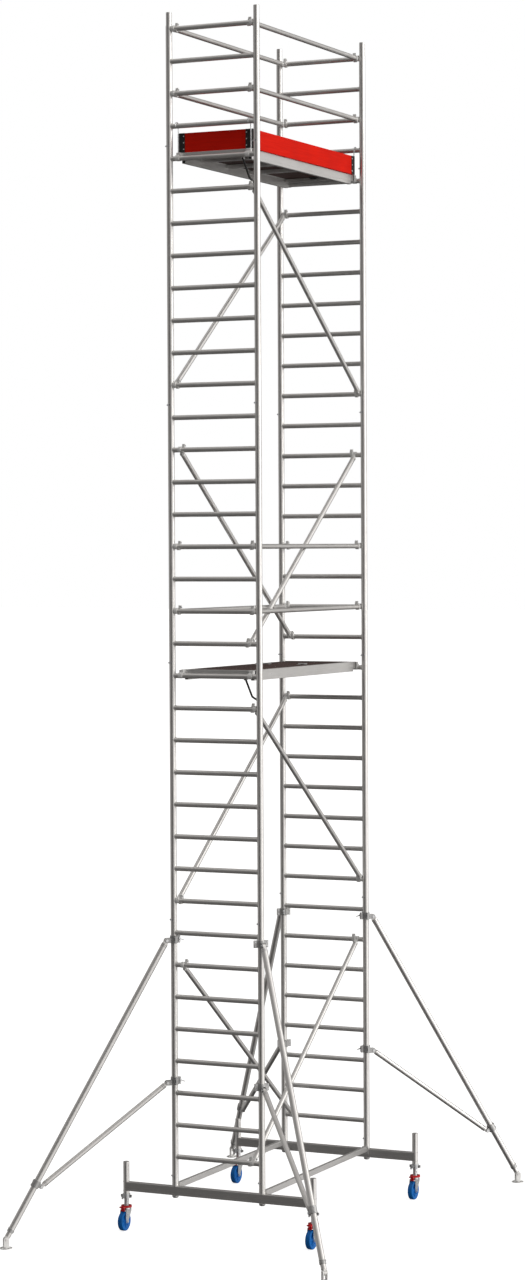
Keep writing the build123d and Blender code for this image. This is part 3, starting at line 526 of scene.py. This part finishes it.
def bead(shape, path, radius, ripples, sides=6):
    """A weld bead along a closed path of (point, outward, along) steps, with the ripples of its passes."""
    rings = []
    for number, (point, outward, side) in enumerate(path):
        swell = radius * (1 + 0.22 * math.cos(2 * math.pi * ripples * number / len(path)))
        ring = []
        for i in range(sides):
            a = 2 * math.pi * i / sides
            ring.append(point + outward * (swell * math.cos(a)) + side * (swell * math.sin(a)))
        rings.append(ring)
    skin(shape, rings, closed=True)


def round_bead(shape, centre, radius, thickness=2.2, steps=36):
    """A level weld bead round an upright post."""
    path = []
    for i in range(steps):
        a = 2 * math.pi * i / steps
        outward = Vector((math.cos(a), math.sin(a), 0))
        path.append((Vector(centre) + outward * radius, outward, Vector((0, 0, 1))))
    bead(shape, path, thickness, 18)


def add_piece(name, body, paint, build, stands_for=None):
    """Makes a mesh piece with build(bmesh), in millimetres, and seats it on a CAD body."""
    shape = bmesh.new()
    build(shape)
    bmesh.ops.recalc_face_normals(shape, faces=shape.faces)
    mesh = bpy.data.meshes.new(name)
    shape.to_mesh(mesh)
    shape.free()
    mesh.transform(Matrix.Scale(MM, 4))
    mesh.shade_smooth()
    mesh.set_sharp_from_angle(angle=math.radians(38))
    mesh.materials.append(paint)
    item = bpy.data.objects.new(name, mesh)
    scene.collection.objects.link(item)
    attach(item, body)
    if stands_for:
        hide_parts(stands_for)


# ---------------------------------------------------------------- tower: welds, rivets, collars
WELD_R = 2.3


def rung_weld(shape, x, z, side, steps=28):
    """The bead where a rung's saddle-cut end meets its upright."""
    path = []
    for i in range(steps):
        a = 2 * math.pi * i / steps
        outward = Vector((math.cos(a), 0, math.sin(a)))
        reach = math.sqrt(UPRIGHT_R ** 2 - (RUNG_R * math.cos(a)) ** 2)
        point = Vector((x, side * (HALF_WIDTH - reach - 1.2), z)) + outward * (RUNG_R + 0.6)
        path.append((point, outward, Vector((0, side, 0))))
    bead(shape, path, WELD_R, 14)


def frame_welds(x, counts):
    def build(shape):
        for count in counts:
            for side in (-1, 1):
                rung_weld(shape, x, rung_z(count), side)
    return build


FRAME_RUNGS = {str(level): range(first, first + RUNGS_PER_FRAME)
               for level, first in enumerate(range(1, 33, RUNGS_PER_FRAME), start=1)}
FRAME_RUNGS["top"] = range(33, 37)
for end, x in (("near", -HALF_LENGTH), ("far", HALF_LENGTH)):
    for level, counts in FRAME_RUNGS.items():
        add_piece(f"{end}_frame_{level}_welds", "tower", weld_metal, frame_welds(x, counts))


def hooked_ends():
    """Each hooked tube's ends: (rung point, unit vector into the tube, y of the tube, group)."""
    ends = []
    for count in RAIL_RUNGS:
        for y in (RAIL_Y, -RAIL_Y):
            ends += [(Vector((-HALF_LENGTH, y, rung_z(count))), Vector((1, 0, 0)), "rail"),
                     (Vector((HALF_LENGTH, y, rung_z(count))), Vector((-1, 0, 0)), "rail")]
    for level in range(4):
        low = rung_z(RUNGS_PER_FRAME * level + 1)
        high = rung_z(RUNGS_PER_FRAME * level + 7)
        for side in (1, -1):
            near_high = (level % 2 == 0) == (side == 1)
            y = side * BRACE_Y[level % 2]
            start = Vector((-HALF_LENGTH, y, high if near_high else low))
            end = Vector((HALF_LENGTH, y, low if near_high else high))
            run = (end - start).normalized()
            ends += [(start, run, "brace"), (end, -run, "brace")]
    return ends


CLAW_HALF_WIDTH = 12
CLAW_RIVET_AT = 38  # from the rung's axis, on both faces
LATCH_RIVET_AT = 29  # on the outer face only


def end_rivets(group):
    """The rivets on the faces of each claw."""
    def build(shape):
        for point, way, kind in hooked_ends():
            if kind != group:
                continue
            for face in (-1, 1):
                to_face = Vector((0, face * CLAW_HALF_WIDTH, 0))
                rivet(shape, at(point + way * CLAW_RIVET_AT + to_face, (0, face, 0)), 4.2)
                if face * point.y > 0:
                    rivet(shape, at(point + way * LATCH_RIVET_AT + to_face, (0, face, 0)), 3.0)
    return build


def end_collars(group):
    """The rolled collar where each tube enters its claw."""
    def build(shape):
        profile = ((18.6, 44), (20.4, 44.4), (21.2, 46), (21.2, 52), (20.3, 54), (18.6, 54.4))
        for point, way, kind in hooked_ends():
            if kind == group:
                lathe(shape, at(point, way), profile, sides=32, closed=True)
    return build


for group in ("rail", "brace"):
    add_piece(f"{group}_end_rivets", "tower", zinc, end_rivets(group))
    add_piece(f"{group}_end_collars", "tower", claw_metal, end_collars(group))


def latch_springs(shape):
    """A coiled spring and its pin on the outer face of each latch."""
    for point, way, _ in hooked_ends():
        inner = -1 if point.y > 0 else 1
        outward = 1 if way.x > 0 else -1
        spot = point + Vector((outward * 17, inner * 34.4, 31))
        place = at(spot, (0, inner, 0))
        rivet(shape, place, 4.0, 2.4)
        for turn in range(3):
            ring = ((5.0, 0.2 + turn), (6.2, 0.2 + turn), (6.2, 1.0 + turn), (5.0, 1.0 + turn))
            lathe(shape, place, ring, sides=18, closed=True)


add_piece("latch_springs", "tower", zinc, latch_springs)


# ---------------------------------------------------------------- platforms
SIDE_BEAM_Y = 300  # outer face of a side beam
CROSS_MEMBERS_X = (-640, -200)
HATCH_MEMBERS_X = (225, 890)  # the cross members at the hatch's two ends
DECK_TOP = 48  # above the axis of the rung that carries the platform
DECK_UNDERSIDE = 36
SCREW_Y = 256
SCREW_R = 4.0
SCREW_HEIGHT = 0.7
TRIM_X = 565
TRIM_Y = 258
TRIM_LENGTH = 600
TRIM_WIDTH = 18
TRIM_HEIGHT = 1.4
TRIM_END_X = 870
HAND_HOLE_X = 810
CATCH_X = 846
CATCH_DEPTH = 10


def platform_rivets(level):
    """The rivets and bolts of the cross members and corner claws, on the side beams and end beams."""
    z = rung_z(PLATFORM_RUNGS[level])

    def build(shape):
        for side in (-1, 1):
            for x in CROSS_MEMBERS_X + HATCH_MEMBERS_X:
                for rise in (4, 12):
                    spot = (x + (rise - 8) * 2.5, side * SIDE_BEAM_Y, z + rise)
                    rivet(shape, at(spot, (0, side, 0)), 3.4, 1.4)
            for end in (-1, 1):
                for rise in (-12, 10, 32):
                    spot = (end * 918, side * SIDE_BEAM_Y, z + rise)
                    rivet(shape, at(spot, (0, side, 0)), 3.8, 1.6)
                for rise in (4, 34):
                    bolt(shape, at((end * 965, side * 262, z + rise), (end, 0, 0)), 5)
    return build


def deck_screws(level):
    """The screws that hold the deck's edge to the side beams and its middle to the cross members."""
    top = rung_z(PLATFORM_RUNGS[level]) + DECK_TOP

    def build(shape):
        for side in (-1, 1):
            for step in range(8):
                rivet(shape, at((-900 + step * 157, side * SCREW_Y, top)), SCREW_R, SCREW_HEIGHT)
            for x in (895, 925):
                rivet(shape, at((x, side * SCREW_Y, top)), SCREW_R, SCREW_HEIGHT)
        for x in CROSS_MEMBERS_X:
            for y in (-130, 0, 130):
                rivet(shape, at((x, y, top)), SCREW_R, SCREW_HEIGHT)
    return build


def hatch_trim(level):
    """Edging strips on three sides of the hatch, their rivets, and the rim of its hand hole."""
    top = rung_z(PLATFORM_RUNGS[level]) + DECK_TOP + 0.3

    def build(shape):
        for y in (TRIM_Y, -TRIM_Y):
            slab(shape, at((TRIM_X, y, top)), TRIM_LENGTH, TRIM_WIDTH, TRIM_HEIGHT, 2, 0.5)
        slab(shape, at((TRIM_END_X, 0, top)), TRIM_WIDTH, 530, TRIM_HEIGHT, 2, 0.5)
        rim = []
        for inset, rise in ((0, 0.0), (0, TRIM_HEIGHT), (7, TRIM_HEIGHT), (7, 0.0)):
            edge = outline(48 - 2 * inset, 124 - 2 * inset, 23.5 - inset)
            rim.append([Vector((HAND_HOLE_X + x, y, top + rise)) for x, y in edge])
        skin(shape, rim, closed=True)
        for x in (300, 480, 660, 840):
            for y in (-TRIM_Y, TRIM_Y):
                rivet(shape, at((x, y, top + TRIM_HEIGHT)), 3.2, SCREW_HEIGHT)
    return build


def hatch_latch(level):
    """The catch under the hatch's free edge: a plate, its bolt and two fixings."""
    under = rung_z(PLATFORM_RUNGS[level]) + DECK_UNDERSIDE
    down = (0, 0, -1)

    def build(shape):
        slab(shape, at((CATCH_X, 0, under), down), 42, 70, CATCH_DEPTH, 6, 2)
        slab(shape, at((CATCH_X, 0, under - CATCH_DEPTH), down), 20, 44, 8, 5, 2)
        for y in (-27, 27):
            bolt(shape, at((CATCH_X, y, under - CATCH_DEPTH), down), 4)
    return build


for level in PLATFORM_RUNGS:
    add_piece(f"{level}_platform_rivets", "tower", zinc, platform_rivets(level))
    add_piece(f"{level}_deck_screws", "tower", zinc, deck_screws(level))
    add_piece(f"{level}_hatch_trim", f"{level}_hatch", black_steel, hatch_trim(level))
    add_piece(f"{level}_hatch_latch", f"{level}_hatch", black_steel, hatch_latch(level))


def board_rivets(shape):
    """Three rivets on each face of the toe boards' corner brackets."""
    bottom = rung_z(PLATFORM_RUNGS["upper"]) + DECK_TOP + 0.2
    for end in (-1, 1):
        for side in (-1, 1):
            for rise in (25, 75, 125):
                rivet(shape, at((end * 966.2, side * 270.2, bottom + rise), (end, 0, 0)), 5.6, 2.4)
                rivet(shape, at((end * 916, side * 321.2, bottom + rise), (0, side, 0)), 5.6, 2.4)


add_piece("toe_board_rivets", "tower", zinc, board_rivets)


# ---------------------------------------------------------------- chassis
BEAM_BOTTOM = 310
BEAM_TOP = 380
PLATE_FACE_X = 968.8  # inner face of the plate at each end of a base tube


def chassis_welds(shape):
    """Beads round the castor posts and round the uprights' cups, over and under the cross beams."""
    for x, y in CASTORS:
        for z in (BEAM_BOTTOM, BEAM_TOP):
            round_bead(shape, (x, y, z), 24.6)
    for x, y in CORNERS:
        round_bead(shape, (x, y, BEAM_TOP + 0.6), 25.4)
        round_bead(shape, (x, y, BEAM_BOTTOM - 0.4), 25.2)


def plate_bolts(shape):
    """Four bolts through the plate at each end of the base tubes."""
    for end in (-1, 1):
        for side in (-1, 1):
            for across in (-20, 20):
                for z in (344, 392):
                    spot = (end * PLATE_FACE_X, side * HALF_WIDTH + across, z)
                    bolt(shape, at(spot, (-end, 0, 0)), 5)


add_piece("chassis_welds", "tower", weld_metal, chassis_welds)
add_piece("chassis_plate_bolts", "tower", zinc, plate_bolts)


# ---------------------------------------------------------------- castors
THREAD_PITCH = 8
THREAD_DEPTH = 2.2
THREAD_LOW = 183
THREAD_HIGH = 519
SPINDLE_R = 19
WHEEL_R = 75
AXLE_TRAIL = 40  # how far the axle trails behind the swivel's axis
NUT_R = 30


def spindle_shape(x, y):
    """The threaded spindle with its kingpin, flange and head."""
    def build(shape):
        around, per_turn = 28, 6
        rows = int((THREAD_HIGH - THREAD_LOW) / THREAD_PITCH * per_turn)
        rings = []
        for row in range(rows + 1):
            z = THREAD_LOW + row * THREAD_PITCH / per_turn
            ring = []
            for i in range(around):
                phase = (row / per_turn - i / around) % 1
                depth = min(1.0, max(0.0, 3 * abs(2 * phase - 1) - 1))
                r = SPINDLE_R - THREAD_DEPTH * depth
                a = 2 * math.pi * i / around
                ring.append(Vector((x + r * math.cos(a), y + r * math.sin(a), z)))
            rings.append(ring)
        skin(shape, rings)
        kingpin = ((11, 150), (11, 157), (8, 157), (8, 176.3))
        flange = ((25.4, 176.3), (26, 177), (26, 181.6), (25, 182.3), (19, 182.3), (17, 183.5))
        lathe(shape, at((x, y, 0)), kingpin + flange, sides=36)
        lathe(shape, at((x, y, THREAD_HIGH)), ((17.5, -1), (17.5, 0.4), (16, 1.0)), sides=36)
    return build


def wheel_shape(x, y):
    """A moulded wheel: grooved tread, dished web and eight ribs on each side."""
    def build(shape):
        hub_and_web = [(8.05, 23.4), (14, 23.4), (17, 22), (20, 21.4), (22.5, 15), (26, 12), (48, 12)]
        tyre = [(52, 14), (58, 17.6), (66, 20.4), (70, 20.8), (73.4, 18), (WHEEL_R, 13.5)]
        groove = [(WHEEL_R, 7), (WHEEL_R - 1, 6.4), (WHEEL_R - 1, 4.6), (WHEEL_R, 4)]
        half = hub_and_web + tyre + groove
        profile = half + [(r, -w) for r, w in reversed(half)]
        place = at((x, y, WHEEL_R), (0, 1, 0))
        lathe(shape, place, profile, sides=72, closed=True)
        for face in (-1, 1):
            for number in range(8):
                turn = Matrix.Rotation(math.pi / 4 * number, 4, "Z")
                rib = place @ turn @ at((36.5, 0, face * 11.5), (0, 0, face))
                slab(shape, rib, 29, 5, 5, 2, 1.2)
    return build


def wheel_hub(x, y):
    """The bearing's shield and seal on each side of the hub."""
    def build(shape):
        for face in (-1, 1):
            place = at((x, y + face * 22.4, WHEEL_R), (0, face, 0))
            shield = ((8.1, 0), (13, 0), (13, 0.9), (11, 1.2), (9, 0.9), (8.1, 0.9))
            lathe(shape, place, shield, sides=32, closed=True)
    return build


def pedal_grip(x, y):
    """Ridges across the brake's pedal and a rolled lip at its end."""
    def build(shape):
        for step in range(5):
            slab(shape, at((x - 82 + step * 8, y, 191.8)), 3.2, 32, 1.8, 1.4, 0.8)
        slab(shape, at((x - 84, y, 184.2), (-1, 0, 0)), 7, 30, 4, 2, 1.5)
    return build


def fork_details(x, y):
    """The swivel bearing's seal under the crown, and stiffening beads pressed into the fork's legs."""
    def build(shape):
        seal = ((29, 0), (31, 0.4), (31.6, 3.5), (31, 6.6), (29, 7))
        lathe(shape, at((x, y, 165.5)), seal, sides=40, closed=True)
        for face in (-1, 1):
            for slope, behind in ((0.42, 8), (0.05, 47)):
                place = at((x - behind, y + face * 28, 128), (0, face, 0))
                turned = place @ Matrix.Rotation(slope * face, 4, "Z")
                slab(shape, turned, 7, 44, 1.8, 3.4, 1.4)
    return build


def nut_grip(x, y):
    """Grip ribs round the adjusting nut and a thread lead-in at each end."""
    def build(shape):
        for number in range(20):
            a = 2 * math.pi * number / 20
            if abs(math.cos(a)) > 0.42:
                spot = (x + NUT_R * math.cos(a), y + NUT_R * math.sin(a), 252)
                lathe(shape, at(spot), ((1.2, 0), (1.6, 1.5), (1.6, 28), (1.2, 30)), sides=8)
        lathe(shape, at((x, y, 284)), ((19.6, -1), (28, -1), (27, 0.7), (21, 0.7)), 36, closed=True)
    return build


for number, (x, y) in enumerate(CASTORS, start=1):
    axle_x = x - AXLE_TRAIL
    add_piece(f"spindle_thread_{number}", f"spindle_{number}", zinc, spindle_shape(x, y),
              f"castor_spindle_{number}")
    add_piece(f"wheel_moulding_{number}", f"wheel_{number}", wheel_blue, wheel_shape(axle_x, y),
              f"castor_wheel_{number}")
    add_piece(f"wheel_bearing_{number}", f"wheel_{number}", black_steel, wheel_hub(axle_x, y))
    add_piece(f"brake_pedal_grip_{number}", f"brake_{number}", brake_red, pedal_grip(x, y))
    add_piece(f"fork_pressings_{number}", f"fork_{number}", zinc, fork_details(x, y))
    add_piece(f"nut_grip_{number}", f"nut_{number}", zinc, nut_grip(x, y))


# ---------------------------------------------------------------- outriggers
UPPER_PIVOT = Vector((61, 0, 2300))
LOWER_PIVOT = Vector((61, 0, 1190))
FOOT_PIVOT = Vector((1363, 0, 68))
ALONG = (FOOT_PIVOT - UPPER_PIVOT).normalized()
ARM_LENGTH = (FOOT_PIVOT - UPPER_PIVOT).length
COUPLER = UPPER_PIVOT + ALONG * 2110
OUTWARDS = Vector((-ALONG.z, 0, ALONG.x))  # across the arm, away from the strut
STRUT_END = COUPLER - OUTWARDS * 48
STRUT_WAY = (STRUT_END - LOWER_PIVOT).normalized()
ARM_R = 24
EYE_R = 20
CLAMPS_Z = (2308, 1205)
FLANGE_FACE = 8
FLANGE_BOLT_Y = 47
FLANGE_BOLT_RISE = 16


def clamp_bolts(place):
    """Bolts through the flanges of both clamps, and two on the back of the coupler."""
    def build(shape):
        for ring in CLAMPS_Z:
            for side in (-1, 1):
                for rise in (-FLANGE_BOLT_RISE, FLANGE_BOLT_RISE):
                    for face in (-1, 1):
                        spot = (face * FLANGE_FACE, side * FLANGE_BOLT_Y, ring + rise)
                        bolt(shape, place @ at(spot, (face, 0, 0)), 4.6)
        for along in (-17, 17):
            spot = COUPLER + ALONG * along + OUTWARDS * 31.5
            bolt(shape, place @ at(spot, OUTWARDS), 5)
    return build


def arm_collars(place):
    """Crimped collars where each eye enters its tube, and the guide ring at the arm's open end."""
    def build(shape):
        for pivot, way, radius in ((UPPER_PIVOT, ALONG, ARM_R), (LOWER_PIVOT, STRUT_WAY, EYE_R),
                                   (STRUT_END, -STRUT_WAY, EYE_R)):
            for start in (34, 46):
                ring = ((radius - 0.4, 0), (radius + 0.9, 0.8), (radius + 1.1, 3), (radius + 0.9, 5.2),
                        (radius - 0.4, 6))
                lathe(shape, place @ at(pivot + way * start, way), ring, 40, closed=True)
        guide = ((21.3, -2), (24, -2.4), (26.2, -1), (26.6, 4), (26.2, 20), (24.1, 22), (23.9, 0), (21.3, 0))
        lathe(shape, place @ at(UPPER_PIVOT + ALONG * (ARM_LENGTH - 66), -ALONG), guide, 40, closed=True)
    return build


def foot_ribs(place):
    """Eight cast ribs from the foot's boss to its rim."""
    def build(shape):
        centre = place @ Matrix.Translation((FOOT_PIVOT.x, 0, 0))
        for number in range(8):
            turn = centre @ Matrix.Rotation(math.pi / 4 * number + math.pi / 8, 4, "Z")
            rings = []
            for out, top in ((22, 13), (30, 11), (38, 8), (45, 5.6)):
                rings.append([turn @ Vector(p) for p in ((out, -2.4, 4), (out, -1.7, top), (out, 1.7, top),
                                                         (out, 2.4, 4))])
            skin(shape, rings)
        rim = ((43, 4.8), (48.6, 4.0), (48.2, 5.4), (46.5, 6.4), (44, 6.2))
        lathe(shape, centre, rim, 56, closed=True)
    return build


def foot_rubber(place):
    """A ribbed rubber sole round the foot's edge."""
    def build(shape):
        centre = place @ Matrix.Translation((FOOT_PIVOT.x, 0, 0))
        sole = ((44, 0.15), (49.2, 0.15), (49.9, 0.7), (49.5, 1.4), (49.9, 2.1), (49.5, 2.8),
                (48.6, 3.2), (44, 3.2))
        lathe(shape, centre, sole, 64, closed=True)
    return build


for number, (x, y) in enumerate(CORNERS, start=1):
    outwards = math.radians((45 if x > 0 else 135) * (1 if y > 0 else -1))
    place = Matrix.Translation((x, y, 0)) @ Matrix.Rotation(outwards, 4, "Z")
    arm, foot = f"outrigger_{number}", f"foot_{number}"
    add_piece(f"clamp_bolts_{number}", arm, zinc, clamp_bolts(place))
    add_piece(f"arm_collars_{number}", arm, clamp_metal, arm_collars(place))
    add_piece(f"foot_ribs_{number}", foot, cast_metal, foot_ribs(place))
    add_piece(f"foot_rubber_{number}", foot, rubber, foot_rubber(place))
